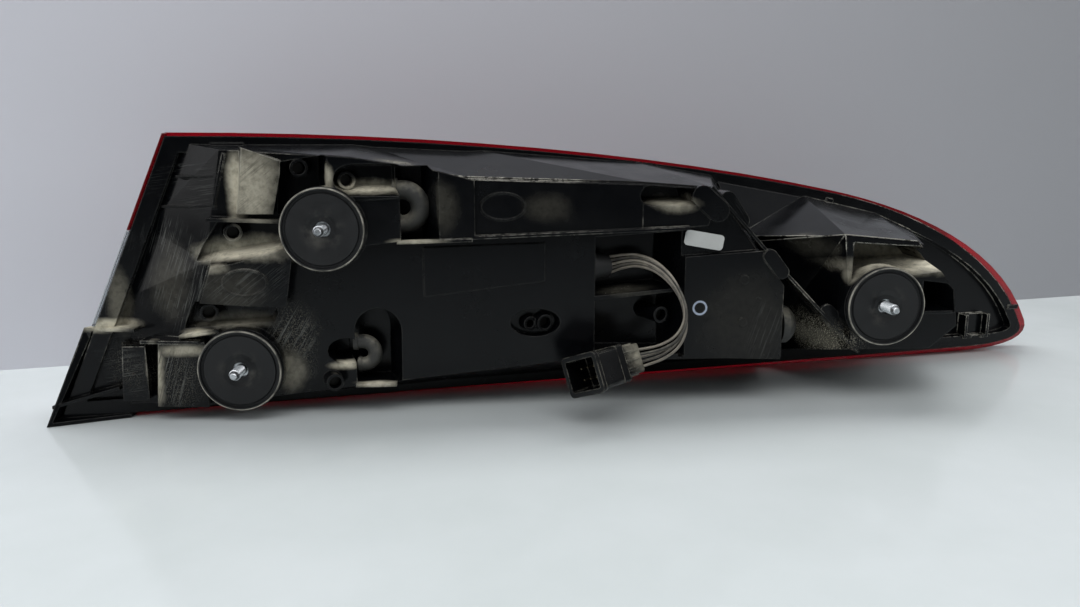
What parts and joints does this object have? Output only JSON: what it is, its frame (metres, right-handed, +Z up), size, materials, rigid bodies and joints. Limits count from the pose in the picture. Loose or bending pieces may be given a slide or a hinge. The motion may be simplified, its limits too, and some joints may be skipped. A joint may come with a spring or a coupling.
{
  "type": "tail light cluster",
  "caption": "Long tapered car tail lamp seen from its mounting side: black moulded housing, red and clear lens, mounting studs with round seals, vents and a wire tail with a connector.",
  "frame": {"origin": "centre of the upper mounting stud at the crest of its seal, on the plane that meets the car body", "axes": "-Y along the studs towards the car body, +Y towards the lens, +X along the lamp towards its pointed tip, +Z up"},
  "size_m": [0.6384, 0.1811, 0.154],
  "materials": {
    "housing_plastic": "gloss",
    "red_lens": "gloss",
    "clear_lens": "gloss",
    "sealant": "matte",
    "bezel_plastic": "satin",
    "reflector_chrome": "polished",
    "light_guide_acrylic": "gloss",
    "red_reflex": "gloss",
    "circuit_board": "satin",
    "led": "gloss",
    "stud_steel": "satin",
    "black_rubber": "matte",
    "grey_rubber": "matte",
    "screw_steel": "satin",
    "loom_tape": "matte",
    "wire_pale": "satin",
    "wire_dark": "satin",
    "plug_plastic": "satin",
    "plug_lock_plastic": "matte",
    "pin_brass": "polished",
    "seal_rubber": "matte",
    "label_paper": "satin"
  },
  "bodies": {
    "root": {"housing": "housing_plastic", "lens_red": "red_lens", "lens_clear": "clear_lens", "lens_seal": "sealant", "bezel": "bezel_plastic", "reflector": "reflector_chrome", "light_guide": "light_guide_acrylic", "reflex_tile": "red_reflex", "brake_board": "circuit_board", "turn_board": "circuit_board", "led_chips": "led", "stud_upper": "stud_steel", "stud_lower": "stud_steel", "stud_outer": "stud_steel", "seal_upper": "black_rubber", "seal_lower": "black_rubber", "seal_outer": "black_rubber", "vent_upper": "grey_rubber", "vent_lower": "grey_rubber", "vent_outer": "grey_rubber", "housing_screws": "screw_steel", "wire_grommet": "black_rubber", "inner_loom": "loom_tape", "wire_1": "wire_pale", "wire_2": "wire_dark", "wire_3": "wire_pale", "wire_4": "wire_dark", "wire_5": "wire_pale", "plug_shell": "plug_plastic", "plug_collar": "plug_lock_plastic", "plug_pins": "pin_brass", "plug_wire_seal": "seal_rubber", "label": "label_paper"}
  },
  "joints": []
}
